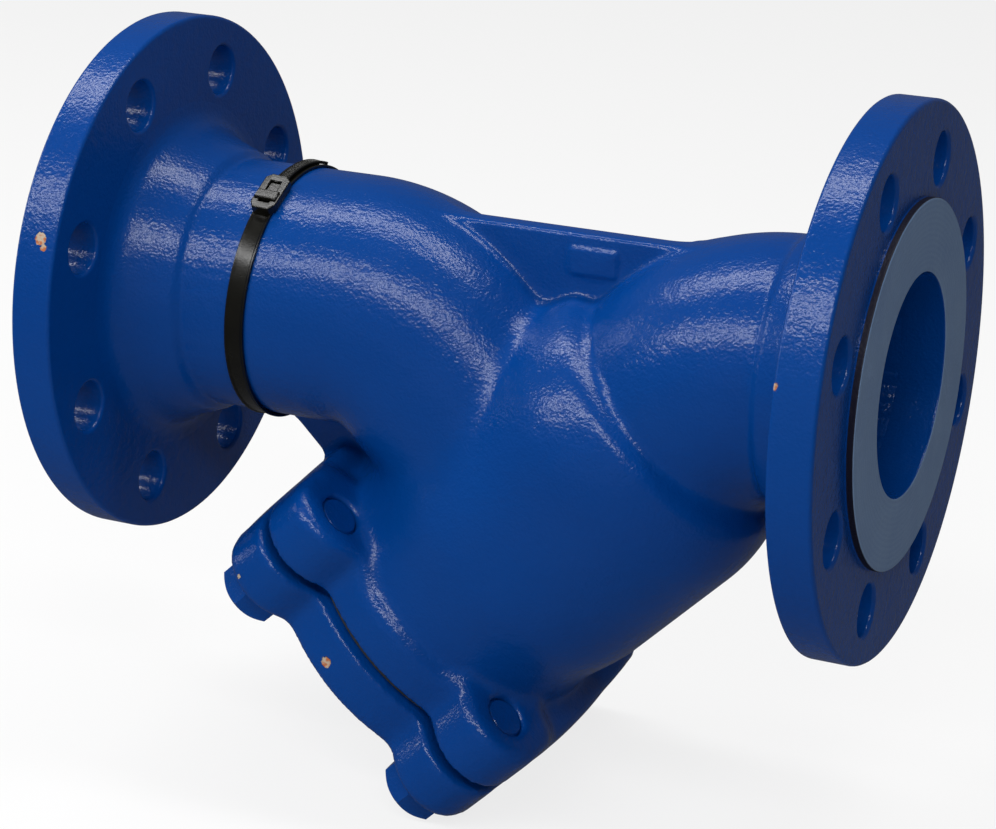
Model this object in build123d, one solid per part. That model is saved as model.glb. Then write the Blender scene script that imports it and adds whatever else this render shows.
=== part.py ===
from build123d import *
import os
from math import atan2, cos, radians, sin, sqrt, tan

os.makedirs("parts", exist_ok=True)

# Flanged Y-pattern strainer, DN80 PN16, in millimetres.
# The origin is the centre of the inlet flange's raised face. X runs downstream to the
# outlet, Z is up, and the screen branch points down and downstream in the plane Y = 0.

# Pipe ends
face_to_face = 310.0
bore_dia = 80.0
pipe_wall = 7.5
flange_dia = 200.0
flange_thickness = 19.0
raised_face_dia = 132.0
raised_face_height = 3.0
flange_hole_circle = 160.0
flange_hole_dia = 19.0
flange_hole_count = 8
flange_rim_round = 1.5
hub_dia = 117.0
hub_end_dia = 100.5
hub_length = 22.0
hub_step_length = 4.0
hub_root_round = 6.0

# Passages: each one leaves its flange straight and turns onto its slanted run
branch_angle = 45.0
inlet_straight = 43.0
inlet_bend_radius = 52.5
outlet_straight = 95.0
outlet_bend_radius = 48.5

# Screen chamber, measured along the branch from where its axis crosses the pipe axis
shoulder_start = 23.0
shoulder_end = 48.0
chamber_outer_dia = 121.4
chamber_bore_dia = 106.0
seat_depth = 30.0
seat_land = 8.0
seat_flare = 8.0
chamber_face = 165.0

# Bolted joint at the chamber's mouth
body_flange_thickness = 22.5
cover_thickness = 21.0
gasket_thickness = 2.5
gasket_inner_dia = 107.0
gasket_outer_dia = 118.0
bolt_spacing = 96.0
boss_dia = 37.0
waist_dia = 123.0
side_bow = 3.0
waist_round = 12.0
cover_edge_round = 4.0
body_edge_round = 2.0

# M16 cover bolts
bolt_dia = 16.0
bolt_length = 45.0
bolt_head_across_flats = 24.0
bolt_head_height = 10.0
bolt_chamfer = 1.0
bolt_hole_clearance = 1.5
thread_clearance = 0.6

# Webs between the passages
top_web_thickness = 9.0
top_web_height = 39.5
crotch_web_thickness = 8.0
crotch_web_start = 239.0
web_round = 6.0
cast_round = 8.0

# Screen: perforated sleeve, woven liner and two end bands
screen_outer_dia = 88.0
sleeve_wall = 1.0
liner_wall = 0.6
band_wall = 1.4
band_length = 7.0
screen_gap = 0.1
screen_seat_gap = 0.5
screen_end_gap = 0.4
perforation_side = 7.5
perforations_around = 16
perforation_rows = 9

# Cover recess, drain boss and plug
recess_depth = 5.0
dish_dia = 78.0
dish_depth = 6.0
drain_boss_dia = 40.0
drain_boss_height = 6.0
plug_thread_dia = 20.9
plug_thread_length = 16.0
plug_collar_dia = 27.0
plug_collar_height = 3.5
plug_across_flats = 19.0
plug_hex_height = 9.0
washer_thickness = 1.5

# Cable tie round the outlet neck
tie_x = 243.5
tie_width = 7.6
tie_thickness = 1.2
tie_gap = 0.3
tie_head_angle = 66.0
tie_head_length = 12.0
tie_head_width = 10.5
tie_head_height = 6.0
tie_tail_width = 4.8
tie_tail_turn = 55.0

# Sizes that follow from the ones above
bore_radius = bore_dia / 2
neck_radius = bore_radius + pipe_wall
flange_radius = flange_dia / 2
turn = tan(radians(branch_angle / 2))
branch_x = inlet_straight + inlet_bend_radius * turn
inlet_bend_end = inlet_bend_radius * turn
outlet_bend_start = face_to_face - outlet_straight
flange_back = chamber_face - body_flange_thickness
cover_inner = chamber_face + gasket_thickness
cover_outer = cover_inner + cover_thickness
bolt_end = cover_outer - bolt_length
bolt_hole_dia = bolt_dia + bolt_hole_clearance
tapped_hole_dia = bolt_dia + thread_clearance
seat_bore_dia = screen_outer_dia + 2 * (band_wall + screen_seat_gap)
sleeve_start = seat_depth + screen_end_gap
sleeve_end = cover_inner + recess_depth - screen_end_gap
drain_face = cover_outer + drain_boss_height
side_reach = (bolt_spacing + boss_dia) / 2 + side_bow
past = 1.0
contact = 0.05

# Frames: the branch's own Z runs down its axis, its X points down and back to the inlet
slope = radians(branch_angle)
down_branch = Vector(cos(slope), 0, -sin(slope))
across_branch = Vector(-sin(slope), 0, -cos(slope))
branch = Plane(origin=(branch_x, 0, 0), x_dir=across_branch, z_dir=down_branch)
pipe = Plane(origin=(0, 0, 0), x_dir=(0, 1, 0), z_dir=(1, 0, 0))
duct_start = Vector(
    outlet_bend_start - outlet_bend_radius * sin(slope),
    0,
    -outlet_bend_radius * (1 - cos(slope)),
)
outlet_duct = Plane(origin=duct_start, x_dir=down_branch, z_dir=across_branch)
duct_reach = (branch.origin - duct_start).dot(across_branch)
outlet_end = Plane(origin=(face_to_face, 0, 0), x_dir=(0, 1, 0), z_dir=(-1, 0, 0))


def cylinder(start, end, diameter):
    """A round bar on the local Z axis, from one station to another."""
    return extrude(Plane.XY.offset(start) * Circle(diameter / 2), end - start)


def ring(start, end, outer, inner):
    return extrude(Plane.XY.offset(start) * (Circle(outer / 2) - Circle(inner / 2)), end - start)


def turned(profile):
    """Spin a half profile, given as (radius, station) corners, round the local Z axis."""
    corners = [(radius, 0, station) for radius, station in profile]
    return revolve(make_face(Polyline(*corners, close=True)), Axis.Z)


def bolt_places():
    half = bolt_spacing / 2
    return [(half, half), (-half, half), (-half, -half), (half, -half)]


def hexagon(start, height, across_flats):
    """A hexagon head with a chamfered crown."""
    head = extrude(Plane.XY.offset(start) * RegularPolygon(across_flats / sqrt(3), 6), height)
    crown = cylinder(start, start + height, 2 * across_flats / sqrt(3))
    crown = chamfer(crown.edges().sort_by(Axis.Z)[-1], across_flats / sqrt(3) - across_flats / 2)
    return head & crown


def pipe_end(straight):
    """Flange, raised face, tapered hub and straight neck, on the local Z axis."""
    hub_end = flange_thickness + hub_length
    corners = [
        (0, 0),
        (raised_face_dia / 2, 0),
        (raised_face_dia / 2, raised_face_height),
        (flange_radius, raised_face_height),
        (flange_radius, flange_thickness),
        (hub_dia / 2, flange_thickness),
        (hub_end_dia / 2, hub_end - hub_step_length),
        (neck_radius, hub_end),
        (neck_radius, straight),
        (0, straight),
    ]
    profile = make_face(Polyline(*[(r, 0, z) for r, z in corners], close=True))
    rims = profile.vertices().filter_by_position(Axis.X, flange_radius - past, flange_radius + past)
    profile = fillet(rims, flange_rim_round)
    root = profile.vertices().sort_by_distance((hub_dia / 2, 0, flange_thickness))[0]
    profile = fillet(root, hub_root_round)
    return revolve(profile, Axis.Z)


def bend(diameter, start, radius, toward):
    """A quarter-turned run of round passage in the plane Y = 0."""
    mouth = Plane(origin=(start, 0, 0), x_dir=(0, 1, 0), z_dir=(toward, 0, 0)) * Circle(diameter / 2)
    centre = Axis((start, 0, -radius), (0, toward, 0))
    return revolve(mouth, centre, branch_angle)


def lobed_outline():
    """Outline shared by the chamber's flange and the cover: four bosses, two bowed sides.

    Each bowed side is an arc that touches both of its bosses, so its centre lies far
    across the chamber, where its distances to a boss and to the bow's crown agree.
    """
    half = bolt_spacing / 2
    boss = boss_dia / 2
    centre = (2 * half ** 2 - (half + side_bow) ** 2) / (2 * side_bow)
    lean = atan2(half, centre + half)
    touch_x = half + boss * cos(lean)
    touch_y = half + boss * sin(lean)
    outline = Circle(waist_dia / 2)
    for x, y in bolt_places():
        outline += Pos(x, y) * Circle(boss)
    for side in (1, -1):
        bow = ThreePointArc((side * touch_x, -touch_y), (side * side_reach, 0), (side * touch_x, touch_y))
        closing = Polyline((side * touch_x, touch_y), (0, half), (0, -half), (side * touch_x, -touch_y))
        outline += make_face(Curve() + [bow, closing])
    waists = [v for v in outline.vertices() if abs(v.X) < half and abs(v.Y) > half]
    return fillet(waists, waist_round)


def casting_outside():
    """The unmachined casting: pipe ends, bends, chamber, its flange and the two webs."""
    solid = pipe * pipe_end(inlet_straight)
    solid += outlet_end * pipe_end(outlet_straight)
    solid += bend(2 * neck_radius, inlet_straight, inlet_bend_radius, 1)
    solid += bend(2 * neck_radius, outlet_bend_start, outlet_bend_radius, -1)
    solid += outlet_duct * cylinder(0, duct_reach, 2 * neck_radius)
    solid += branch * chamber_outside()
    solid = fillet(solid.edges().filter_by(GeomType.BSPLINE), cast_round)
    solid += web(top_web_outline(), top_web_thickness)
    solid = fillet(top_web_borders(solid), web_round)
    solid += branch * body_flange()
    solid += web(crotch_web_outline(), crotch_web_thickness)
    return solid


def top_web_borders(solid):
    """The edges where the top web's two sides run into the passages and the chamber."""
    low = in_branch(-neck_radius, shoulder_end + pipe_wall)[1] - cast_round
    borders = []
    for edge in solid.edges():
        place = edge.center()
        on_side = abs(abs(place.Y) - top_web_thickness / 2) < contact
        if on_side and low < place.Z < top_web_height - contact:
            borders.append(edge)
    return borders


def chamber_outside():
    """The chamber's skin: two arcs of one radius swell the neck out to the chamber."""
    neck = Vector(neck_radius, 0, shoulder_start)
    chamber = Vector(chamber_outer_dia / 2, 0, shoulder_end)
    middle = (neck + chamber) / 2
    arcs = [TangentArc(neck, middle, tangent=(0, 0, 1)), TangentArc(chamber, middle, tangent=(0, 0, -1))]
    mouth = flange_back + past
    rest = Polyline(
        chamber,
        (chamber.X, 0, mouth),
        (0, 0, mouth),
        (0, 0, inlet_bend_end),
        (neck_radius, 0, inlet_bend_end),
        neck,
    )
    return revolve(make_face(Curve() + [*arcs, rest]), Axis.Z)


def body_flange():
    plate = extrude(Plane.XY.offset(flange_back) * lobed_outline(), body_flange_thickness)
    return fillet(plate.edges().group_by(Axis.Z)[0], body_edge_round)


def web(corners, thickness):
    """A cast web in the plane Y = 0, given its (x, z) corners."""
    outline = make_face(Polyline(*[(x, 0, z) for x, z in corners], close=True))
    return extrude(outline, thickness / 2, dir=(0, 1, 0), both=True)


def on_bend(start, radius, height, toward):
    """Where a passage's outer skin passes a given height, on the top of its bend."""
    skin = radius + neck_radius
    return start + toward * sqrt(skin ** 2 - (radius + height) ** 2)


def in_branch(across, down):
    """The (x, z) place of a point given in the branch's own frame."""
    point = branch.origin + across_branch * across + down_branch * down
    return point.X, point.Z


def top_web_outline():
    left = on_bend(inlet_straight, inlet_bend_radius, top_web_height, 1)
    right = on_bend(outlet_bend_start, outlet_bend_radius, top_web_height, -1)
    foot = in_branch(-chamber_outer_dia / 2 + pipe_wall / 2, shoulder_end + pipe_wall)
    return [
        (left - pipe_wall / 2, top_web_height),
        (right + pipe_wall / 2, top_web_height),
        foot,
        (left + pipe_wall / 2, top_web_height - 4 * pipe_wall),
    ]


def crotch_web_outline():
    rim = in_branch(-side_reach, chamber_face - body_edge_round)
    rim_back = in_branch(-side_reach + pipe_wall, flange_back + pipe_wall)
    root = in_branch(-chamber_outer_dia / 2 + pipe_wall / 2, flange_back - 5 * pipe_wall)
    neck = -neck_radius + pipe_wall / 2
    return [(crotch_web_start, neck), rim, rim_back, root, (root[0] + pipe_wall, neck)]


def inlet_hollow():
    hollow = pipe * cylinder(-past, inlet_straight, bore_dia)
    hollow += bend(bore_dia, inlet_straight, inlet_bend_radius, 1)
    chamber = turned([
        (0, inlet_bend_end),
        (bore_radius, inlet_bend_end),
        (bore_radius, seat_depth),
        (seat_bore_dia / 2, seat_depth),
        (seat_bore_dia / 2, seat_depth + seat_land),
        (chamber_bore_dia / 2, seat_depth + seat_land + seat_flare),
        (chamber_bore_dia / 2, chamber_face + past),
        (0, chamber_face + past),
    ])
    return hollow + branch * chamber


def outlet_hollow():
    hollow = outlet_end * cylinder(-past, outlet_straight, bore_dia)
    hollow += bend(bore_dia, outlet_bend_start, outlet_bend_radius, -1)
    inside = sqrt(chamber_bore_dia ** 2 - bore_dia ** 2) / 2
    hollow += outlet_duct * cylinder(0, duct_reach - inside + past, bore_dia)
    return hollow


def flange_holes():
    """Holes that straddle the centre lines, on the local Z axis."""
    step = 360 / flange_hole_count
    drill = Pos(flange_hole_circle / 2, 0) * cylinder(-past, flange_thickness + past, flange_hole_dia)
    return [Rot(0, 0, (i + 0.5) * step) * drill for i in range(flange_hole_count)]


def make_body():
    body = casting_outside()
    body -= inlet_hollow()
    body -= outlet_hollow()
    for frame in (pipe, outlet_end):
        for hole in flange_holes():
            body -= frame * hole
    for x, y in bolt_places():
        body -= branch * (Pos(x, y) * cylinder(flange_back - past, chamber_face + past, tapped_hole_dia))
    return body


def make_cover():
    plate = extrude(Plane.XY.offset(cover_inner) * lobed_outline(), cover_thickness)
    plate = fillet(plate.edges().group_by(Axis.Z)[-1], cover_edge_round)
    plate += cylinder(cover_outer - past, drain_face, drain_boss_dia)
    plate -= turned([
        (0, cover_inner - past),
        (seat_bore_dia / 2, cover_inner - past),
        (seat_bore_dia / 2, cover_inner + recess_depth),
        (dish_dia / 2, cover_inner + recess_depth),
        (dish_dia / 2 - dish_depth, cover_inner + recess_depth + dish_depth),
        (0, cover_inner + recess_depth + dish_depth),
    ])
    plate -= cylinder(cover_inner, drain_face + past, plug_thread_dia + thread_clearance)
    for x, y in bolt_places():
        plate -= Pos(x, y) * cylinder(cover_inner - past, cover_outer + past, bolt_hole_dia)
    return branch * plate


def make_gasket():
    return branch * ring(chamber_face, cover_inner, gasket_outer_dia, gasket_inner_dia)


def make_bolt(x, y):
    """A hexagon bolt with one corner towards the cover's waisted side."""
    shank = cylinder(bolt_end, cover_outer, bolt_dia)
    shank = chamfer(shank.edges().sort_by(Axis.Z)[0], bolt_chamfer)
    head = Rot(0, 0, 90) * hexagon(cover_outer, bolt_head_height, bolt_head_across_flats)
    return branch * (Pos(x, y) * (shank + head))


def make_sleeve():
    """The perforated tube, with staggered rows of square holes between its plain ends."""
    sleeve = ring(sleeve_start, sleeve_end, screen_outer_dia, screen_outer_dia - 2 * sleeve_wall)
    first_row = sleeve_start + band_length + perforation_side
    last_row = sleeve_end - band_length - perforation_side
    row_pitch = (last_row - first_row) / (perforation_rows - 1)
    turn_pitch = 360 / perforations_around
    punch = extrude(Plane.YZ * Rectangle(perforation_side, perforation_side), screen_outer_dia)
    holes = []
    for row in range(perforation_rows):
        stagger = turn_pitch / 2 * (row % 2)
        for place in range(perforations_around):
            angle = place * turn_pitch + stagger
            holes.append(Pos(0, 0, first_row + row * row_pitch) * Rot(0, 0, angle) * punch)
    return branch * (sleeve - holes)


def make_liner():
    outer = screen_outer_dia - 2 * sleeve_wall - 2 * screen_gap
    return branch * ring(sleeve_start, sleeve_end, outer, outer - 2 * liner_wall)


def make_band(start):
    inner = screen_outer_dia + 2 * screen_gap
    return branch * ring(start, start + band_length, inner + 2 * band_wall, inner)


def make_plug():
    collar = drain_face + washer_thickness
    body = cylinder(drain_face - plug_thread_length, collar, plug_thread_dia)
    body = chamfer(body.edges().sort_by(Axis.Z)[0], bolt_chamfer)
    body += cylinder(collar, collar + plug_collar_height, plug_collar_dia)
    body += hexagon(collar + plug_collar_height, plug_hex_height, plug_across_flats)
    return branch * body


def make_washer():
    washer = ring(drain_face, drain_face + washer_thickness, plug_collar_dia, plug_thread_dia + thread_clearance)
    return branch * washer


def make_tie():
    """A moulded cable tie: its band round the neck, its locking head and the tail it lets out."""
    inner = neck_radius + tie_gap
    outer = inner + tie_thickness
    tie = ring(-tie_width / 2, tie_width / 2, 2 * outer, 2 * inner)
    size = (tie_head_height, tie_head_length, tie_head_width)
    head = fillet(Box(*size, align=(Align.MIN, Align.CENTER, Align.CENTER)).edges(), tie_thickness)
    tie += Rot(0, 0, tie_head_angle) * (Pos(outer - tie_thickness / 2, 0) * head)
    strip = Plane.XZ * (Pos(outer + tie_thickness / 2, 0) * Rectangle(tie_thickness, tie_tail_width))
    tie += Rot(0, 0, tie_head_angle) * revolve(strip, Axis.Z, tie_tail_turn)
    return Plane(origin=(tie_x, 0, 0), x_dir=(0, 1, 0), z_dir=(1, 0, 0)) * tie


parts = {
    "body": make_body(),
    "cover": make_cover(),
    "cover_gasket": make_gasket(),
    "screen_sleeve": make_sleeve(),
    "screen_mesh": make_liner(),
    "screen_inner_band": make_band(sleeve_start),
    "screen_outer_band": make_band(sleeve_end - band_length),
    "drain_plug": make_plug(),
    "drain_plug_washer": make_washer(),
    "cable_tie": make_tie(),
}
for number, (x, y) in enumerate(bolt_places(), 1):
    parts[f"cover_bolt_{number}"] = make_bolt(x, y)

for name, solid in parts.items():
    export_step(solid, f"parts/{name}.step")
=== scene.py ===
from math import cos, pi, radians, sin, tan

import bmesh
import bpy
from mathutils import Matrix, Vector


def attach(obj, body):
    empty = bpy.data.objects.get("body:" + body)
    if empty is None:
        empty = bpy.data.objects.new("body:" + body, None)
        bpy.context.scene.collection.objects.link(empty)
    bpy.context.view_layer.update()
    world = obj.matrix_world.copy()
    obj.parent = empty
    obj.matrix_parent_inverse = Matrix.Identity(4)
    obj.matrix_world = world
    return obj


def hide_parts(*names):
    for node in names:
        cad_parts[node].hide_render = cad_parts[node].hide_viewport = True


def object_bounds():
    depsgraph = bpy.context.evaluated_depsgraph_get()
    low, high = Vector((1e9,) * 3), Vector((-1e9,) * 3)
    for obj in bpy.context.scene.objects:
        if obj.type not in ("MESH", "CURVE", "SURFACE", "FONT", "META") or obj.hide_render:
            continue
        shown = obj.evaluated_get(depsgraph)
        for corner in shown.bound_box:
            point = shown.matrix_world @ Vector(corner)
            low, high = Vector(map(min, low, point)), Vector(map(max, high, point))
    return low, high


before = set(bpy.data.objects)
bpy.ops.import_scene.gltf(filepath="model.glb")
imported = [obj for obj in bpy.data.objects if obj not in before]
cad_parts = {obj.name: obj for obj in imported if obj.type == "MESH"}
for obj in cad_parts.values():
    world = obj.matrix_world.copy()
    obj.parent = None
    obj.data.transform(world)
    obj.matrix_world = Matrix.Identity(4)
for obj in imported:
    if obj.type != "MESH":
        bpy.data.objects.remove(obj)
cad_box = [list(corner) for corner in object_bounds()]


# The camera stands off the inlet flange, a little above the pipe, and looks along the flow.
# It is upright and its view is shifted slightly, as the picture was cropped.
stand = Vector((-0.2668, 0.9487, 0.3565))
aim = Vector((0.1949, 0.0, -0.0206))
camera_data = bpy.data.cameras.new("camera")
camera_data.lens = 107.2
camera_data.sensor_width = 36
camera_data.shift_x = 0.0886
camera_data.shift_y = -0.0558
camera = bpy.data.objects.new("camera", camera_data)
camera.location = stand
camera.rotation_euler = (aim - stand).to_track_quat("-Z", "Y").to_euler()
bpy.context.scene.collection.objects.link(camera)
bpy.context.scene.camera = camera
bpy.context.scene.view_settings.view_transform = "Standard"


# The casting: one piece of ductile iron, sand cast. Two bent passages and the slanted screen
# chamber run into each other with cast fillets, as do the lobed flange and the two webs.
# It is made here as a distance field, so that every joint gets its fillet, and then meshed.
class Wire:
    """One value in a node tree. Sums written with it add Math nodes to the tree."""

    def __init__(self, bench, socket):
        self.bench = bench
        self.socket = socket

    def clamped(self):
        return self.bench.node("ShaderNodeClamp", None, [self])

    def maths(self, operation, *others, swap=False):
        values = [self, *others]
        if swap:
            values.reverse()
        return self.bench.node("ShaderNodeMath", {"operation": operation}, values)

    def __add__(self, other):
        return self.maths("ADD", other)

    __radd__ = __add__

    def __sub__(self, other):
        return self.maths("SUBTRACT", other)

    def __rsub__(self, other):
        return self.maths("SUBTRACT", other, swap=True)

    def __mul__(self, other):
        return self.maths("MULTIPLY", other)

    __rmul__ = __mul__

    def __truediv__(self, other):
        return self.maths("DIVIDE", other)

    def __rtruediv__(self, other):
        return self.maths("DIVIDE", other, swap=True)

    def __abs__(self):
        return self.maths("ABSOLUTE")

    def __lt__(self, other):
        return self.maths("LESS_THAN", other)

    def __gt__(self, other):
        return self.maths("GREATER_THAN", other)


class Bench:
    """A node tree, and the one way in which nodes are added to it."""

    def __init__(self, tree):
        self.tree = tree

    def node(self, kind, settings=None, inputs=None, output=0):
        node = self.tree.nodes.new(kind)
        for name, value in (settings or {}).items():
            setattr(node, name, value)
        pairs = inputs.items() if isinstance(inputs, dict) else enumerate(inputs or [])
        for key, value in pairs:
            if isinstance(value, Wire):
                self.tree.links.new(value.socket, node.inputs[key])
            else:
                node.inputs[key].default_value = value
        return Wire(self, node.outputs[output])


def length_of(a, b):
    return (a * a + b * b).maths("SQRT")


def lesser(a, b, blend=0.0):
    return a.maths("SMOOTH_MIN", b, blend) if blend else a.maths("MINIMUM", b)


def greater(a, b, blend=0.0):
    return a.maths("SMOOTH_MAX", b, blend) if blend else a.maths("MAXIMUM", b)


def pick(condition, yes, no):
    return condition * yes + (1 - condition) * no


def ramp_up(value, start, end):
    """0 before start, 1 after end and a smooth step between."""
    settings = {"interpolation_type": "SMOOTHSTEP"}
    return value.bench.node("ShaderNodeMapRange", settings, [value, start, end, 0.0, 1.0])


LENGTH, BORE, NECK, FLANGE_BACK = 310.0, 40.0, 47.5, 19.0
SLOPE = radians(45)
INLET_STRAIGHT, INLET_BEND = 43.0, 52.5
OUTLET_STRAIGHT, OUTLET_BEND = 95.0, 48.5
BRANCH_X = INLET_STRAIGHT + INLET_BEND * tan(SLOPE / 2)
HUB_RISE, HUB_TAPER, HUB_STEP, HUB_REACH = 11.0, 0.375, (41.0, 43.6), 60.0
CHAMBER, CHAMBER_BORE, NECKING, NECKED = 60.7, 53.0, 2.8, (108.0, 135.0)
CREASE, SHOULDER, SHOULDER_RISE, SWELL = 27.0, 6.0, 4.6, 31.0
SEAT_START, SEAT_END, SEAT_BORE = 30.0, 38.0, 45.9
LOBE_BACK, LOBE_FACE, BACK_DROP, DROP_RUN = 142.5, 165.0, 4.5, (-1.0, 13.0)
BACK_ROUND, FACE_ROUND, WEB_ROUND = 9.0, 3.0, 3.0
COVER_INNER, COVER_OUTER = 167.5, 188.5
BOSS_PLACE, BOSS, WAIST, BOW = 48.0, 18.5, 63.4, 3.0
GASKET_EDGE, FACE_RELIEF = 59.5, 0.9
TAPPED_HOLE, TAPPED_START, THREAD_ROUND = 8.05, 130.0, 1.2
TOP_WEB_HALF, TOP_WEB_CREST, TOP_WEB_MIDDLE, TOP_WEB_REACH = 4.4, 39.5, 130.0, 55.0
PAD, PAD_RISE, PAD_CORNER, PAD_EDGE = (119.0, 10.0, 29.5, 5.8), 1.4, 3.0, (-0.9, 0.3)
WEB_END, WEB_LEAN, CROTCH_HALF = (239.6, -54.0), radians(44.5), 4.0
ROOT_DISC, INSIDE_FLANGE = 69.0, 14.0
CHAMBER_FILLET, OUTLET_FILLET, WEB_FILLET = 4.2, 8.0, 6.0
LOBE_FILLET, CROTCH_FILLET, FLANGE_FILLET = 8.5, 6.0, 11.0


class Place:
    """The current point, in millimetres, along the pipe and in the branch's own directions."""

    def __init__(self, bench):
        point = bench.node("GeometryNodeInputPosition")
        split = bench.node("ShaderNodeSeparateXYZ", None, [point])
        outputs = split.socket.node.outputs
        self.x, self.y, self.z = [Wire(bench, outputs[i]) * 1000.0 for i in range(3)]
        along = self.x - BRANCH_X
        self.down = along * cos(SLOPE) - self.z * sin(SLOPE)
        self.across = 0.0 - (along * sin(SLOPE) + self.z * cos(SLOPE))
        self.side = abs(self.y)


def inlet_line(p):
    """Distance from the centreline that runs from the inlet, round its bend, down the branch."""
    straight = length_of(p.y, p.z)
    round_bend = length_of(p.x - INLET_STRAIGHT, p.z + INLET_BEND) - INLET_BEND
    bend = length_of(round_bend, p.y)
    branch = length_of(p.across, p.y)
    in_branch = p.down > INLET_BEND * tan(SLOPE / 2)
    return pick(in_branch, branch, pick(p.x < INLET_STRAIGHT, straight, bend)), in_branch


def outlet_line(p):
    """Distance from the centreline that runs from the outlet, round its bend, to the chamber."""
    start = LENGTH - OUTLET_STRAIGHT
    straight = length_of(p.y, p.z)
    round_bend = length_of(p.x - start, p.z + OUTLET_BEND) - OUTLET_BEND
    bend = length_of(round_bend, p.y)
    bend_end_x = start - OUTLET_BEND * sin(SLOPE)
    bend_end_z = -OUTLET_BEND * (1 - cos(SLOPE))
    duct_down = (bend_end_x - BRANCH_X) * cos(SLOPE) - bend_end_z * sin(SLOPE)
    duct_across = -(bend_end_x - BRANCH_X) * sin(SLOPE) - bend_end_z * cos(SLOPE)
    duct = length_of(p.down - duct_down, p.y)
    in_duct = p.across > duct_across
    return pick(in_duct, duct, pick(p.x > start, straight, bend))


def hub_swell(from_face):
    """How far the tapered hub stands proud of the neck, at a distance from the flange face."""
    cone = HUB_RISE - (from_face - FLANGE_BACK) * HUB_TAPER
    return cone * (1 - ramp_up(from_face, *HUB_STEP))


def lobes(p):
    """Outline of the chamber's flange and of the cover, seen along the branch."""
    out = abs(p.across)
    boss = length_of(out - BOSS_PLACE, p.side - BOSS_PLACE) - BOSS
    waist = length_of(out, p.side) - WAIST
    far = (2 * BOSS_PLACE ** 2 - (BOSS_PLACE + BOW) ** 2) / (2 * BOW)
    bow = length_of(out + far, p.side) - (far + BOSS_PLACE + BOSS + BOW)
    bow = greater(bow, p.side - BOSS_PLACE - 2.0)
    return lesser(lesser(waist, boss, 12.0), bow, 2.0)


def bolt_circles(p, radius):
    return length_of(abs(p.across) - BOSS_PLACE, p.side - BOSS_PLACE) - radius


def relief(p):
    """Outside the gasket, both joint faces are cast slightly back."""
    return FACE_RELIEF * ramp_up(length_of(p.across, p.y), GASKET_EDGE, GASKET_EDGE + 1.0)


def chamber_skin(p):
    """The slanted chamber. It swells out behind its crease and draws in before its flange."""
    left_to_rise = 1 - ((p.down - CREASE) / SHOULDER).clamped()
    left_to_swell = 1 - ((p.down - CREASE) / SWELL).clamped()
    short = left_to_rise * left_to_rise * SHOULDER_RISE
    short = short + left_to_swell * left_to_swell * (CHAMBER - NECK - SHOULDER_RISE)
    skin = CHAMBER - NECKING * ramp_up(p.down, *NECKED)
    round_it = length_of(p.across, p.y) - skin + short
    return greater(round_it, abs(p.down - (CREASE + LOBE_FACE) / 2) - (LOBE_FACE - CREASE) / 2)


def top_web(p):
    """The web that ties the two necks together, with a low bare pad on each side."""
    middle, half_length, height, half_height = PAD
    pad = greater(abs(p.x - middle) - half_length, abs(p.z - height) - half_height, PAD_CORNER)
    half = TOP_WEB_HALF + (PAD_RISE - PAD_RISE * ramp_up(pad, *PAD_EDGE))
    web = greater(p.side - half, p.z - TOP_WEB_CREST)
    web = greater(web, abs(p.x - TOP_WEB_MIDDLE) - TOP_WEB_REACH, 2.0)
    return greater(web, 5.0 - p.z)


def lobed_flange(p):
    """The flange that the cover is bolted to. Its back lies further down between the bosses."""
    back = LOBE_BACK + BACK_DROP * ramp_up(bolt_circles(p, BOSS), *DROP_RUN)
    disc = greater(lobes(p), back - p.down, BACK_ROUND)
    return greater(disc, p.down - LOBE_FACE + relief(p), FACE_ROUND)


def crotch_web(p):
    """The web under the outlet neck, down to the lobed flange."""
    end_x, end_z = WEB_END
    free_edge = (p.x - end_x) * cos(WEB_LEAN) - (p.z - end_z) * sin(WEB_LEAN)
    web = greater(greater(p.side - CROTCH_HALF, free_edge, WEB_ROUND), p.down - LOBE_FACE + 2.0)
    return greater(greater(web, p.across + CHAMBER - 5.0), p.z + 40.0)


def water_way(p, inlet, in_branch, outlet):
    """The hollow: both passages, the screen's seat and the wider chamber behind it."""
    widening = in_branch * (
        ramp_up(p.down, SEAT_START, SEAT_START + 1.0) * (SEAT_BORE - BORE)
        + ramp_up(p.down, SEAT_END, SEAT_END + 8.0) * (CHAMBER_BORE - SEAT_BORE))
    return lesser(inlet - BORE - widening, greater(outlet - BORE, p.across + 30.0), 4.0)


def casting_field(p):
    inlet, in_branch = inlet_line(p)
    outlet = outlet_line(p)
    inlet_hub = (p.x < HUB_REACH) * (1 - in_branch) * hub_swell(p.x)
    outlet_hub = (p.x > LENGTH - HUB_REACH) * hub_swell(LENGTH - p.x)
    solid = greater(inlet - NECK - inlet_hub, p.down - LOBE_FACE)
    solid = lesser(solid, chamber_skin(p), CHAMBER_FILLET)
    solid = lesser(solid, greater(outlet - NECK - outlet_hub, p.across), OUTLET_FILLET)
    solid = lesser(solid, top_web(p), WEB_FILLET)
    solid = lesser(solid, lobed_flange(p), LOBE_FILLET)
    solid = lesser(solid, crotch_web(p), CROTCH_FILLET)
    from_ends = lesser(p.x, LENGTH - p.x)
    flange_roots = greater(length_of(p.y, p.z) - ROOT_DISC, from_ends - FLANGE_BACK + 0.04)
    solid = lesser(solid, flange_roots, FLANGE_FILLET)
    solid = greater(solid, 0.0 - water_way(p, inlet, in_branch, outlet), 1.0)
    tapped = greater(bolt_circles(p, TAPPED_HOLE), TAPPED_START - p.down)
    solid = greater(solid, 0.0 - tapped, THREAD_ROUND)
    return greater(solid, INSIDE_FLANGE - from_ends)


def evaluated_mesh(holder):
    graph = bpy.context.evaluated_depsgraph_get()
    return bpy.data.meshes.new_from_object(holder.evaluated_get(graph))


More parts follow.
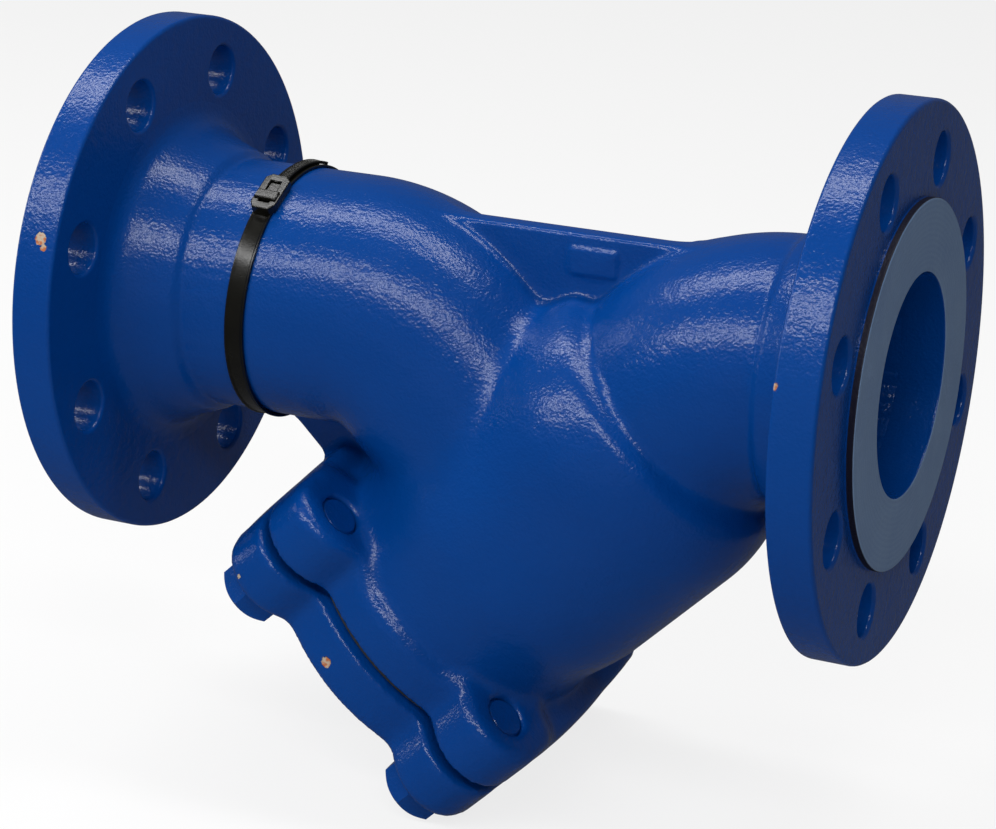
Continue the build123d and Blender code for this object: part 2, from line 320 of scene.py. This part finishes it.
def settled(piece):
    """Make a piece's modifiers part of its mesh."""
    mesh = evaluated_mesh(piece)
    mesh.name = piece.name
    piece.modifiers.clear()
    piece.data = mesh
    return piece


def bench_output(bench, wire):
    end = bench.tree.nodes.new("NodeGroupOutput")
    bench.tree.links.new(wire.socket, end.inputs[0])


def grown(name, tree, settings):
    """Run a geometry tree once and keep its result as a plain mesh object."""
    seed = bpy.data.objects.new(name + "_seed", bpy.data.meshes.new(name + "_seed"))
    bpy.context.scene.collection.objects.link(seed)
    modifier = seed.modifiers.new("grow", "NODES")
    modifier.node_group = tree
    for identifier, value in settings.items():
        modifier[identifier] = value
    mesh = evaluated_mesh(seed)
    mesh.name = name
    bpy.data.objects.remove(seed)
    piece = bpy.data.objects.new(name, mesh)
    bpy.context.scene.collection.objects.link(piece)
    return piece


def mesh_from_field(name, field, low, high, voxel, material, most=60000):
    """Mesh the surface where a distance field is zero, inside a box given in millimetres."""
    tree = bpy.data.node_groups.new(name + "_tree", "GeometryNodeTree")
    tree.interface.new_socket("Geometry", in_out="OUTPUT", socket_type="NodeSocketGeometry")
    size = tree.interface.new_socket("Voxel size", in_out="INPUT", socket_type="NodeSocketFloat")
    bench = Bench(tree)
    voxel_wire = bench.node("NodeGroupInput")
    finer = 1.0 / voxel_wire
    density = 1.0 - field(Place(bench))
    counts = [finer * (far - near) for near, far in zip(low, high)]
    volume = bench.node("GeometryNodeVolumeCube", None, {
        "Density": density,
        "Min": [value / 1000 for value in low],
        "Max": [value / 1000 for value in high],
        "Resolution X": counts[0],
        "Resolution Y": counts[1],
        "Resolution Z": counts[2],
    })
    meshing = {"Volume": volume, "Threshold": 1.0}
    mesh = bench.node("GeometryNodeVolumeToMesh", {"resolution_mode": "GRID"}, meshing)
    mesh = bench.node("GeometryNodeSetShadeSmooth", None, {"Geometry": mesh})
    mesh = bench.node("GeometryNodeSetMaterial", None, {"Geometry": mesh, "Material": material})
    mesh = bench.node("GeometryNodeRealizeInstances", None, {"Geometry": mesh})
    bench_output(bench, mesh)
    piece = grown(name, tree, {size.identifier: voxel})
    triangles = sum(len(face.vertices) - 2 for face in piece.data.polygons)
    thinning = piece.modifiers.new("thinning", "DECIMATE")
    thinning.ratio = min(1.0, most / triangles)
    return settled(piece)


class Finish(Bench):
    """A material's node tree, which ends in one Principled shader."""

    def __init__(self, name):
        self.material = bpy.data.materials.new(name)
        self.material.use_nodes = True
        super().__init__(self.material.node_tree)
        self.tree.nodes.clear()
        self.where = self.node("ShaderNodeTexCoord", output="Object")

    def noise(self, scale, detail=2.0, rough=0.5, where=None):
        return self.node("ShaderNodeTexNoise", None, {
            "Vector": where or self.where, "Scale": scale, "Detail": detail, "Roughness": rough})

    def mix(self, factor, a, b):
        inputs = {"Factor": factor, 6: a, 7: b}
        return self.node("ShaderNodeMix", {"data_type": "RGBA"}, inputs, output=2)

    def millimetres(self):
        split = self.node("ShaderNodeSeparateXYZ", None, [self.where]).socket.node
        return [Wire(self, output) * 1000.0 for output in split.outputs]

    def bump(self, height, distance):
        inputs = {"Height": height, "Strength": 1.0, "Distance": distance}
        return self.node("ShaderNodeBump", None, inputs)

    def done(self, **inputs):
        named = {name.replace("_", " "): value for name, value in inputs.items()}
        shader = self.node("ShaderNodeBsdfPrincipled", None, named)
        end = self.tree.nodes.new("ShaderNodeOutputMaterial")
        self.tree.links.new(shader.socket, end.inputs["Surface"])
        return self.material


DEEP_BLUE = (0.0, 0.035, 0.195, 1.0)
LIT_BLUE = (0.0, 0.052, 0.265, 1.0)
PRIMER, RUST = (0.45, 0.36, 0.27, 1.0), (0.42, 0.12, 0.04, 1.0)
EPOXY_SHINE, PEEL_DEPTH = 0.3, 0.00011


def epoxy(name, chips=(), extra=None):
    """Fused epoxy: a deep even blue, with a fine orange peel that breaks up every highlight."""
    finish = Finish(name)
    cloud = finish.noise(13.0, 3.0)
    colour = finish.mix(cloud * 0.8 + finish.noise(700.0) * 0.2, DEEP_BLUE, LIT_BLUE)
    peel = finish.noise(950.0, 1.0, 0.4)
    ripple = finish.noise(210.0, 2.0, 0.4)
    height = peel * 1.5 + ripple * 2.4
    rough = finish.noise(40.0) * 0.1 + 0.17
    if extra:
        colour, rough = extra(finish, colour, rough)
    if chips:
        x, y, z = finish.millimetres()
        ragged = finish.noise(900.0, 3.0) * 1.6
        bare = None
        for cx, cy, cz, size in chips:
            away = length_of(length_of(x - cx, y - cy), z - cz) + ragged
            spot = 1 - ramp_up(away, size, size + 0.25)
            bare = spot if bare is None else bare.maths("MAXIMUM", spot)
        under = finish.mix(ramp_up(finish.noise(420.0), 0.45, 0.6), PRIMER, RUST)
        colour = finish.mix(bare, colour, under)
        rough = rough + bare * 0.4
        height = height - bare * 4.0
    normal = finish.bump(height, PEEL_DEPTH)
    return finish.done(
        Base_Color=colour, Roughness=rough, Normal=normal, Specular_IOR_Level=EPOXY_SHINE)


PAINT_CHIPS = ((199.0, 61.8, -121.0, 2.9), (234.0, 65.0, -92.0, 1.5))
casting_paint = epoxy("casting_paint", PAINT_CHIPS)
casting_low, casting_high = (12, -78, -172), (298, 78, 78)
casting = mesh_from_field(
    "casting", casting_field, casting_low, casting_high, 1.5, casting_paint, 190000)
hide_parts("body")
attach(casting, "strainer_body")


# The flanges are turned and drilled to the standard size, and painted over. Each is a plate
# with eight holes that straddle the centre lines, and a raised face that takes the gasket.
PIPE = Matrix(((0, 0, 1), (1, 0, 0), (0, 1, 0)))
OUTLET = Matrix(((0, 0, -1), (-1, 0, 0), (0, 1, 0)))
FLANGE_RADIUS, HOLE_CIRCLE, HOLE_RADIUS = 99.97, 80.0, 9.5
RAISED_RADIUS, RAISED_HEIGHT = 66.0, 3.0
RIM_ROUND, PAINT_ROUND = 1.5, 0.8


def circle(radius, count, centre=(0.0, 0.0), turn=1):
    steps = [2 * pi * i / count * turn for i in range(count)]
    return [(centre[0] + radius * cos(a), centre[1] + radius * sin(a)) for a in steps]


def plate(name, outline, holes, low, high, edge):
    """A flat plate with rounded edges, between two heights on its own Z axis, in millimetres."""
    curve = bpy.data.curves.new(name, "CURVE")
    curve.dimensions = "2D"
    curve.fill_mode = "BOTH"
    curve.extrude = (high - low) / 2 - edge
    curve.bevel_depth = edge
    curve.bevel_resolution = 3
    for loop in (outline, *holes):
        spline = curve.splines.new("POLY")
        spline.points.add(len(loop) - 1)
        spline.use_cyclic_u = True
        for point, (u, v) in zip(spline.points, loop):
            point.co = (u, v, 0.0, 1.0)
    holder = bpy.data.objects.new(name, curve)
    bpy.context.scene.collection.objects.link(holder)
    mesh = evaluated_mesh(holder)
    bpy.data.objects.remove(holder)
    mesh.transform(Matrix.Translation((0, 0, (low + high) / 2)))
    return mesh


def finished(name, meshes, turn, origin, material, weld=0.01):
    """Join meshes made in millimetres, turn them into place, and give them even normals."""
    work = bmesh.new()
    for mesh in meshes:
        part = bmesh.new()
        part.from_mesh(mesh)
        bmesh.ops.remove_doubles(part, verts=part.verts, dist=weld)
        bmesh.ops.recalc_face_normals(part, faces=part.faces)
        part.to_mesh(mesh)
        part.free()
        work.from_mesh(mesh)
    for face in work.faces:
        face.smooth = True
    joined = bpy.data.meshes.new(name)
    work.to_mesh(joined)
    work.free()
    joined.transform(Matrix.Translation(origin) @ turn.to_4x4())
    joined.transform(Matrix.Scale(0.001, 4))
    joined.materials.clear()
    joined.materials.append(material)
    piece = bpy.data.objects.new(name, joined)
    bpy.context.scene.collection.objects.link(piece)
    normals = piece.modifiers.new("normals", "WEIGHTED_NORMAL")
    normals.keep_sharp = True
    return settled(piece)


def flange(name, turn, origin):
    spots = [radians(45 * i + 22.5) for i in range(8)]
    centres = [(HOLE_CIRCLE * cos(a), HOLE_CIRCLE * sin(a)) for a in spots]
    holes = [circle(HOLE_RADIUS + RIM_ROUND, 40, centre, -1) for centre in centres]
    rim = circle(FLANGE_RADIUS - RIM_ROUND, 160)
    bore = circle(BORE - 0.05 + PAINT_ROUND, 96, turn=-1)
    inner = circle(BORE + 8, 96, turn=-1)
    raised = circle(RAISED_RADIUS - PAINT_ROUND, 128)
    disc = plate(name + "_disc", rim, [*holes, inner], RAISED_HEIGHT, FLANGE_BACK, RIM_ROUND)
    face = plate(name + "_face", raised, [bore], 0.0, FLANGE_BACK - 2.0, PAINT_ROUND)
    return finished(name, [disc, face], turn, origin, flange_paint)


PAINTED_SHEEN_BLUE, STEP_BROWN = (0.16, 0.25, 0.40, 1.0), (0.008, 0.004, 0.003, 1.0)
FLANGE_CHIPS = ((297.5, 92.3, 38.8, 3.0), (295.8, 93.6, 35.9, 2.0), (18.6, 95.7, 28.4, 2.0))


def face_painted_sheen_and_step(finish, colour, rough):
    """The raised faces are duller than the rest and paler with a painted sheen, and their step is
    painted dark brown.
    """
    x, y, z = finish.millimetres()
    from_end = lesser(x, LENGTH - x)
    radius = length_of(y, z)
    raised = (from_end < RAISED_HEIGHT - 0.5) * (radius < RAISED_RADIUS + 0.5)
    face = raised * (from_end < 0.3)
    step = raised * (from_end > 0.3) * (radius > RAISED_RADIUS - 1.0)
    rings = {"wave_type": "RINGS", "rings_direction": "X"}
    lathe = finish.node("ShaderNodeTexWave", rings, {"Vector": finish.where, "Scale": 160.0})
    # Painted sheen: the raised face's colour is mixed towards a pale grey-blue that stands in for a
    # reflection.
    painted_sheen_share = face * (0.68 + lathe * 0.1 + finish.noise(60.0) * 0.25)
    colour = finish.mix(painted_sheen_share, colour, PAINTED_SHEEN_BLUE)
    colour = finish.mix(step * 0.93, colour, STEP_BROWN)
    return colour, rough + face * 0.3 + step * 0.3


flange_paint = epoxy("flange_paint", FLANGE_CHIPS, face_painted_sheen_and_step)
flange_places = (("inlet_flange", PIPE, (0, 0, 0)), ("outlet_flange", OUTLET, (LENGTH, 0, 0)))
for name, turn, origin in flange_places:
    piece = flange(name, turn, origin)
    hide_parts("body")
    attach(piece, "strainer_body")


# The screen cover is a second casting with the same lobed outline. Its outer edge is well
# rounded, and a low boss in its middle carries the drain plug.
DRAIN_FACE, DRAIN_BOSS, DRAIN_HOLE = 194.5, 20.0, 10.75
RECESS, DISH, DISH_DEPTH = 5.0, 39.0, 6.0
BOLT_HOLE = 8.75


def cover_field(p):
    solid = greater(lobes(p), p.down - COVER_OUTER, 7.0)
    from_axis = length_of(p.across, p.y)
    boss = greater(from_axis - DRAIN_BOSS, p.down - DRAIN_FACE, 2.0)
    solid = lesser(solid, boss, 4.0)
    solid = greater(solid, COVER_INNER - p.down + relief(p), 2.5)
    recess = greater(from_axis - SEAT_BORE, p.down - COVER_INNER - RECESS)
    slanted = from_axis - DISH + (p.down - COVER_INNER - RECESS)
    dish = greater(slanted, p.down - COVER_INNER - RECESS - DISH_DEPTH, 2.0)
    solid = greater(solid, 0.0 - recess, 1.0)
    solid = greater(solid, 0.0 - dish, 1.0)
    solid = greater(solid, DRAIN_HOLE - from_axis, 1.0)
    return greater(solid, 0.0 - bolt_circles(p, BOLT_HOLE), 1.5)


cover_low, cover_high = (115, -74, -187), (257, 74, -28)
cover = mesh_from_field(
    "cover_casting", cover_field, cover_low, cover_high, 1.5, casting_paint)
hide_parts("cover")
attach(cover, "cover_assembly")


# Four steel hexagon bolts hold the cover, and their ends show in the body's tapped bosses. They
# were painted together with it after it was fitted, and the coat rounds their corners.
def eased_copy(name, node, width, material, sharp=35):
    """A merged copy of one of the model's nodes, with its sharp edges rounded."""
    work = bmesh.new()
    work.from_mesh(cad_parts[node].data)
    bmesh.ops.remove_doubles(work, verts=work.verts, dist=2e-6)
    bmesh.ops.dissolve_limit(work, angle_limit=radians(1), verts=work.verts, edges=work.edges)
    for face in work.faces:
        face.smooth = True
    mesh = bpy.data.meshes.new(name)
    work.to_mesh(mesh)
    work.free()
    mesh.materials.clear()
    mesh.materials.append(material)
    piece = bpy.data.objects.new(name, mesh)
    bpy.context.scene.collection.objects.link(piece)
    rounding = piece.modifiers.new("rounding", "BEVEL")
    rounding.limit_method = "ANGLE"
    rounding.angle_limit = radians(sharp)
    rounding.width = width
    rounding.segments = 3
    piece.modifiers.new("normals", "WEIGHTED_NORMAL").keep_sharp = True
    return settled(piece)


def dress(piece, node, body):
    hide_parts(node)
    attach(piece, body)


for number in range(1, 5):
    bolt = eased_copy(f"bolt_{number}_painted", f"cover_bolt_{number}", 0.0005, casting_paint, 25)
    dress(bolt, f"cover_bolt_{number}", f"bolt_{number}")


# The drain plug is turned from steel, with a hexagon head, and screws into the middle of the
# cover. A soft copper washer seals its collar, and the plug is painted like the castings.
def copper(name):
    finish = Finish(name)
    tarnish = finish.noise(220.0, 4.0)
    colour = finish.mix(tarnish, (0.56, 0.2, 0.1, 1), (0.22, 0.075, 0.04, 1))
    scratches = finish.bump(finish.noise(1400.0), 0.00006)
    return finish.done(
        Base_Color=colour, Metallic=1.0, Roughness=0.3 + tarnish * 0.25, Normal=scratches)


plug = eased_copy("plug_painted", "drain_plug", 0.0005, casting_paint, 25)
dress(plug, "drain_plug", "drain_plug")
washer = eased_copy("washer_copper", "drain_plug_washer", 0.0003, copper("copper"))
dress(washer, "drain_plug_washer", "drain_plug")


# The cover's gasket is a flat ring cut from dark grey fibre sheet. It is clamped between the
# cover and the body, inside the bolts, so only its edge shows in the gap.
def fibre_sheet(name):
    finish = Finish(name)
    fibres = finish.noise(2600.0, 4.0, 0.7)
    colour = finish.mix(fibres, (0.012, 0.013, 0.015, 1), (0.035, 0.037, 0.04, 1))
    rough = 0.75 + fibres * 0.15
    return finish.done(Base_Color=colour, Roughness=rough, Normal=finish.bump(fibres, 0.0001))


gasket = eased_copy("gasket_sheet", "cover_gasket", 0.0003, fibre_sheet("fibre_sheet"))
dress(gasket, "cover_gasket", "strainer_body")


# The screen is a punched stainless tube with a fine woven liner and a folded band at each end.
# Its rows of square holes are staggered, so the ribs between them run round and along it.
BRANCH = Matrix(((-sin(SLOPE), 0, cos(SLOPE)), (0, 1, 0), (-cos(SLOPE), 0, -sin(SLOPE))))
SLEEVE_RADIUS, SLEEVE_WALL, SLEEVE_START, SLEEVE_END, BAND = 44.0, 1.0, 30.4, 172.1, 7.0
HOLE_SIDE, HOLES_AROUND, HOLE_ROWS = 7.5, 16, 9


def sleeve_tree():
    tree = bpy.data.node_groups.new("sleeve_tree", "GeometryNodeTree")
    tree.interface.new_socket("Geometry", in_out="OUTPUT", socket_type="NodeSocketGeometry")
    sizes = {
        "Radius": SLEEVE_RADIUS,
        "Wall": SLEEVE_WALL,
        "Hole side": HOLE_SIDE,
        "First row": SLEEVE_START + BAND + HOLE_SIDE,
        "Last row": SLEEVE_END - BAND - HOLE_SIDE,
        "Start": SLEEVE_START,
        "End": SLEEVE_END,
    }
    settings = {}
    for name, value in sizes.items():
        socket = tree.interface.new_socket(name, in_out="INPUT", socket_type="NodeSocketFloat")
        settings[socket.identifier] = value
    bench = Bench(tree)
    entry = bench.node("NodeGroupInput").socket.node
    given = [Wire(bench, entry.outputs[name]) for name in sizes]
    radius, wall, side, first, last, start, end = given
    columns, rows = HOLES_AROUND * 8, HOLE_ROWS * 2 + 1
    grid = bench.node("GeometryNodeMeshGrid", None, {
        "Size X": float(columns), "Size Y": float(rows),
        "Vertices X": columns + 1, "Vertices Y": rows + 1})
    point = bench.node("GeometryNodeInputPosition")
    split = bench.node("ShaderNodeSeparateXYZ", None, [point]).socket.node
    column = Wire(bench, split.outputs[0]) + columns / 2
    row = Wire(bench, split.outputs[1]) + rows / 2
    half = (column * 0.25).maths("FLOOR")
    row_whole = row.maths("FLOOR")
    hole_row = ((row_whole - 1.0) * 0.5).maths("FLOOR")
    in_row = (row_whole.maths("MODULO", 2.0) > 0.5)
    in_column = ((column - half * 4.0) < 3.0)
    matching = (abs((half + hole_row + 2.0).maths("MODULO", 2.0)) < 0.5)
    holes = {"Geometry": grid, "Selection": in_row * in_column * matching}
    punched = bench.node("GeometryNodeDeleteGeometry", {"domain": "FACE"}, holes)
    corner = (column + 0.01).maths("FLOOR")
    corner_half = (corner * 0.25 + 0.01).maths("FLOOR")
    third = side / radius / 3.0
    angle = corner_half * (pi / HOLES_AROUND) + (corner - corner_half * 4.0 - 1.5) * third
    line = (row + 0.01).maths("FLOOR")
    line_row = ((line - 0.99) * 0.5).maths("FLOOR")
    upper = 1 - (line + 2.0).maths("MODULO", 2.0)
    height = first + line_row * ((last - first) / (HOLE_ROWS - 1.0)) + (upper - 0.5) * side
    height = pick(line < 0.5, start, pick(line > rows - 0.5, end, height))
    rolled = [radius * angle.maths("COSINE"), radius * angle.maths("SINE"), height]
    place = bench.node("ShaderNodeCombineXYZ", None, rolled)
    bent = bench.node("GeometryNodeSetPosition", None, {"Geometry": punched, "Position": place})
    closed = bench.node("GeometryNodeMergeByDistance", None, {"Geometry": bent, "Distance": 0.01})
    thicken = {"Mesh": closed, "Offset Scale": 0.0 - wall, "Individual": False}
    outer = bench.node("GeometryNodeExtrudeMesh", {"mode": "FACES"}, thicken)
    both = bench.tree.nodes.new("GeometryNodeJoinGeometry")
    for wire in (outer, closed):
        bench.tree.links.new(wire.socket, both.inputs[0])
    joined = {"Geometry": Wire(bench, both.outputs[0]), "Distance": 0.01}
    shell = bench.node("GeometryNodeMergeByDistance", None, joined)
    shell = bench.node("GeometryNodeRealizeInstances", None, {"Geometry": shell})
    coated = {"Geometry": shell, "Material": steel}
    bench_output(bench, bench.node("GeometryNodeSetMaterial", None, coated))
    return tree, settings


def brushed_steel(name, grain):
    """Rolled stainless sheet: fine lines along its length, and a faint cloud of handling marks."""
    finish = Finish(name)
    along = finish.node("ShaderNodeMapping", None, {
        "Vector": finish.where, "Rotation": (0, SLOPE, 0), "Scale": (1, 1, 40)})
    lines = finish.noise(grain, 3.0, 0.6, along)
    cloud = finish.noise(30.0, 3.0)
    colour = finish.mix(cloud, (0.5, 0.5, 0.49, 1), (0.66, 0.655, 0.64, 1))
    normal = finish.bump(lines, 0.00003)
    return finish.done(Base_Color=colour, Metallic=1.0, Roughness=0.22 + lines * 0.2, Normal=normal)


steel = brushed_steel("brushed_steel", 60.0)
sleeve = grown("sleeve_punched", *sleeve_tree())
tidy = bmesh.new()
tidy.from_mesh(sleeve.data)
bmesh.ops.recalc_face_normals(tidy, faces=tidy.faces)
tidy.to_mesh(sleeve.data)
tidy.free()
sleeve.data.transform(Matrix.Translation((BRANCH_X, 0, 0)) @ BRANCH.to_4x4())
sleeve.data.transform(Matrix.Scale(0.001, 4))
sleeve.data.set_sharp_from_angle(angle=radians(30))
dress(sleeve, "screen_sleeve", "screen")
for end in ("inner", "outer"):
    band = eased_copy(f"band_{end}_rolled", f"screen_{end}_band", 0.0004, steel)
    dress(band, f"screen_{end}_band", "screen")


LINER_RADIUS = 43.0


def woven(name, pitch):
    """Square-woven wire cloth: bright wires that pass over and under, with open squares between."""
    finish = Finish(name)
    x, y, z = finish.millimetres()
    down = (x - BRANCH_X) * cos(SLOPE) - z * sin(SLOPE)
    across = 0.0 - ((x - BRANCH_X) * sin(SLOPE) + z * cos(SLOPE))
    wires_round = round(2 * pi * LINER_RADIUS / pitch)
    round_it = y.maths("ARCTAN2", across) * (wires_round / (2 * pi))
    along = down / pitch
    u = round_it.maths("PINGPONG", 0.5) * 2.0
    v = along.maths("PINGPONG", 0.5) * 2.0
    wire_u, wire_v = 1 - ramp_up(u, 0.36, 0.44), 1 - ramp_up(v, 0.36, 0.44)
    wave = ((round_it * pi).maths("COSINE") * (along * pi).maths("COSINE"))
    over = wire_u * (1 - u * u) * (1.0 + wave * 0.5)
    under = wire_v * (1 - v * v) * (1.0 - wave * 0.5)
    height = greater(over, under)
    alpha = greater(wire_u, wire_v)
    # Painted shade: the wires are darker where they dip under each other and towards their edges.
    wire_colour_painted_shade = finish.mix(height * 0.6, (0.2, 0.2, 0.2, 1), (0.7, 0.7, 0.68, 1))
    normal = finish.bump(height, 0.0003)
    return finish.done(Base_Color=wire_colour_painted_shade, Metallic=0.9, Roughness=0.3, Alpha=alpha, Normal=normal)


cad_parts["screen_mesh"].data.materials.clear()
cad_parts["screen_mesh"].data.materials.append(woven("woven_wire", 1.7))


# A black nylon cable tie is drawn tight round the outlet neck. Its band has low raised borders,
# its head is an open frame with a locking bar, and the narrower toothed tail lies over the top.
TIE_X, TIE_LEAN, TIE_RADIUS, TIE_WALL = 243.5, radians(-3.3), 47.8, 1.2
TIE_WIDTH, TAIL_WIDTH = 7.6, 4.4
HEAD_ANGLE, TAIL_TURN = radians(62), radians(50)


def nylon(name):
    finish = Finish(name)
    grain = finish.noise(1500.0, 3.0)
    smear = finish.noise(90.0, 3.0)
    colour = finish.mix(smear, (0.002, 0.002, 0.0018, 1), (0.008, 0.0075, 0.005, 1))
    return finish.done(
        Base_Color=colour, Roughness=0.14 + smear * 0.22, Specular_IOR_Level=0.4,
        Normal=finish.bump(grain, 0.00003))


def hoop(profile, start, turn, steps):
    """A closed profile of axial and radial points, swept round the pipe's axis from an angle."""
    mesh = bpy.data.meshes.new("hoop")
    full = abs(turn - 2 * pi) < 1e-6
    rings = steps if full else steps + 1
    points = []
    for i in range(rings):
        angle = start + turn * i / steps
        points += [(x, r * cos(angle), r * sin(angle)) for x, r in profile]
    count = len(profile)
    faces = []
    for i in range(steps):
        near, far = i * count, (i + 1) % rings * count
        for j in range(count):
            k = (j + 1) % count
            faces.append((near + j, near + k, far + k, far + j))
    if not full:
        faces += [tuple(range(count)), tuple(range(len(points) - count, len(points)))]
    mesh.from_pydata(points, [], faces)
    return mesh


def strip_profile(width, low, high, lip, lip_width, ease=0.15):
    """A flat strip's section, with a raised lip along each edge and eased corners."""
    half = width / 2
    inner = half - lip_width
    right = [(half, low), (half, high - ease), (half - ease, high), (inner, high)]
    left = [(-across, height) for across, height in reversed(right)]
    floor = [(inner - ease, high - lip), (ease - inner, high - lip)]
    return [left[-1], *right, *floor, *left[:-1]]


def teeth(name, start, turn, count, radius, material):
    """Cross ribs along the tail, one small block repeated round the arc."""
    tree = bpy.data.node_groups.new(name + "_tree", "GeometryNodeTree")
    tree.interface.new_socket("Geometry", in_out="OUTPUT", socket_type="NodeSocketGeometry")
    sizes = {"Start": start, "Step": turn / (count - 1), "Radius": radius}
    settings = {}
    for label, value in sizes.items():
        socket = tree.interface.new_socket(label, in_out="INPUT", socket_type="NodeSocketFloat")
        settings[socket.identifier] = value
    bench = Bench(tree)
    entry = bench.node("NodeGroupInput").socket.node
    first, step, reach = [Wire(bench, entry.outputs[label]) for label in sizes]
    line = bench.node("GeometryNodeMeshLine", None, {"Count": count, "Offset": (0, 0, 0)})
    number = bench.node("GeometryNodeInputIndex")
    angle = first + number * step
    on_arc = [0.0, reach * angle.maths("COSINE"), reach * angle.maths("SINE")]
    spot = bench.node("ShaderNodeCombineXYZ", None, on_arc)
    line = bench.node("GeometryNodeSetPosition", None, {"Geometry": line, "Position": spot})
    block = bench.node("GeometryNodeMeshCube", None, {"Size": (TAIL_WIDTH - 1.4, 0.5, 0.55)})
    turned = bench.node("ShaderNodeCombineXYZ", None, [angle, 0.0, 0.0])
    copies = bench.node("GeometryNodeInstanceOnPoints", None, {
        "Points": line, "Instance": block, "Rotation": turned})
    copies = bench.node("GeometryNodeRealizeInstances", None, {"Geometry": copies})
    coated = {"Geometry": copies, "Material": material}
    bench_output(bench, bench.node("GeometryNodeSetMaterial", None, coated))
    return grown(name, tree, settings)


black_nylon = nylon("black_nylon")
band_top = TIE_RADIUS + TIE_WALL
tail_top = band_top + TIE_WALL
strap_section = strip_profile(TIE_WIDTH, TIE_RADIUS, band_top, 0.45, 0.9)
strap = hoop(strap_section, HEAD_ANGLE, 2 * pi, 180)
tail_section = strip_profile(TAIL_WIDTH, band_top, tail_top, 0.35, 0.6)
tail = hoop(tail_section, HEAD_ANGLE - radians(8), TAIL_TURN + radians(8), 60)
frame_outline = [(-9, -2.8), (-7.2, -4.6), (5.5, -4.6), (8, -3.0), (8, 3.0), (5.5, 4.6),
                 (-7.2, 4.6), (-9, 2.8)]
window = [(-6.6, -2.7), (-6.6, 2.7), (5.6, 2.7), (5.6, -2.7)]
bar_outline = [(0.2, -3.9), (3.4, -3.9), (3.4, 3.9), (0.2, 3.9)]
pawl_outline = [(-5.4, -1.9), (-0.8, -1.9), (-0.8, 1.9), (-5.4, 1.9)]
head = plate("tie_head", frame_outline, [window], 0.0, 3.6, 0.5)
bar = plate("tie_bar", bar_outline, [], 2.8, 4.6, 0.5)
pawl = plate("tie_pawl", pawl_outline, [], 0.9, 2.7, 0.4)
up, over = sin(HEAD_ANGLE), cos(HEAD_ANGLE)
outward = Matrix(((0, 1, 0), (up, 0, over), (-over, 0, up)))
seat = Matrix.Translation((0, (band_top - 0.9) * over, (band_top - 0.9) * up))
for mesh in (head, bar, pawl):
    mesh.transform(seat @ outward.to_4x4())
ribs = teeth("tie_teeth", HEAD_ANGLE + radians(9), TAIL_TURN - radians(12), 34,
             tail_top - 0.35, black_nylon)
tie_meshes = [strap, tail, head, bar, pawl, ribs.data]
lean = Matrix.Rotation(TIE_LEAN, 3, "Y")
tie = finished("cable_tie_nylon", tie_meshes, lean, (TIE_X, 0, 0), black_nylon)
bpy.data.objects.remove(ribs)
dress(tie, "cable_tie", "strainer_body")


# The floor and backdrop are one pale sheet, which also keeps the shadow. Two long soft lamps
# hang along the pipe, a third stands beyond the outlet, and a wide weak one fills from in front.
def pale_sheet(name):
    material = bpy.data.materials.new(name)
    material.use_nodes = True
    bench = Bench(material.node_tree)
    bench.tree.nodes.clear()
    path = bench.node("ShaderNodeLightPath").socket.node
    kinds = ("Camera", "Glossy", "Transmission")
    seen, glossy, through = [Wire(bench, path.outputs[f"Is {kind} Ray"]) for kind in kinds]
    sheet = bench.node("ShaderNodeBsdfDiffuse", None, {"Color": (0.9, 0.9, 0.9, 1)})
    lit = bench.node("ShaderNodeBsdfDiffuse", None, {"Color": (0.55, 0.55, 0.55, 1)})
    dim = {"Color": (0.1, 0.1, 0.1, 1), "Strength": 1.0}
    reflected = bench.node("ShaderNodeEmission", None, dim)
    glow = bench.node("ShaderNodeEmission", None, {"Color": (1, 1, 1, 1), "Strength": 1.0})
    shown = bench.node("ShaderNodeMixShader", None, [0.8, sheet, glow])
    unseen = bench.node("ShaderNodeMixShader", None, [greater(glossy, through), lit, reflected])
    mixed = bench.node("ShaderNodeMixShader", None, [seen, unseen, shown])
    end = bench.tree.nodes.new("ShaderNodeOutputMaterial")
    bench.tree.links.new(mixed.socket, end.inputs["Surface"])
    return material


floor_z = cad_box[0][2] - 0.0005
reach = 12.0
around = ((-reach, -reach), (reach, -reach), (reach, reach), (-reach, reach))
corners = [(x, y, floor_z) for x, y in around]
floor_mesh = bpy.data.meshes.new("floor")
floor_mesh.from_pydata(corners, [], [(0, 1, 2, 3)])
floor = bpy.data.objects.new("floor", floor_mesh)
floor.data.materials.append(pale_sheet("pale_sheet"))
bpy.context.scene.collection.objects.link(floor)

world = bpy.data.worlds.new("studio")
world.use_nodes = True
sky = world.node_tree.nodes["Background"].inputs
sky["Color"].default_value = (1, 1, 1, 1)
sky["Strength"].default_value = 0.11
bpy.context.scene.world = world


def softbox(name, place, size, power, target):
    lamp = bpy.data.lights.new(name, "AREA")
    lamp.shape = "RECTANGLE"
    lamp.size, lamp.size_y = size
    lamp.energy = power
    holder = bpy.data.objects.new(name, lamp)
    holder.location = place
    holder.rotation_euler = (Vector(target) - Vector(place)).to_track_quat("-Z", "Y").to_euler()
    bpy.context.scene.collection.objects.link(holder)
    return holder


softbox("front_lamp", (0.35, 0.95, 0.9), (2.2, 0.15), 15, (0.35, 0.0, -0.04))
softbox("top_lamp", (0.45, -0.15, 1.25), (2.0, 0.18), 14, (0.45, 0.0, -0.04))
low_fill = softbox("low_fill", (0.1, 2.2, 0.1), (2.4, 1.0), 12, (0.15, 0.0, -0.06))
softbox("side_lamp", (2.2, 0.15, 0.5), (0.5, 0.9), 7, (0.15, 0.0, -0.04))
low_fill.visible_glossy = False
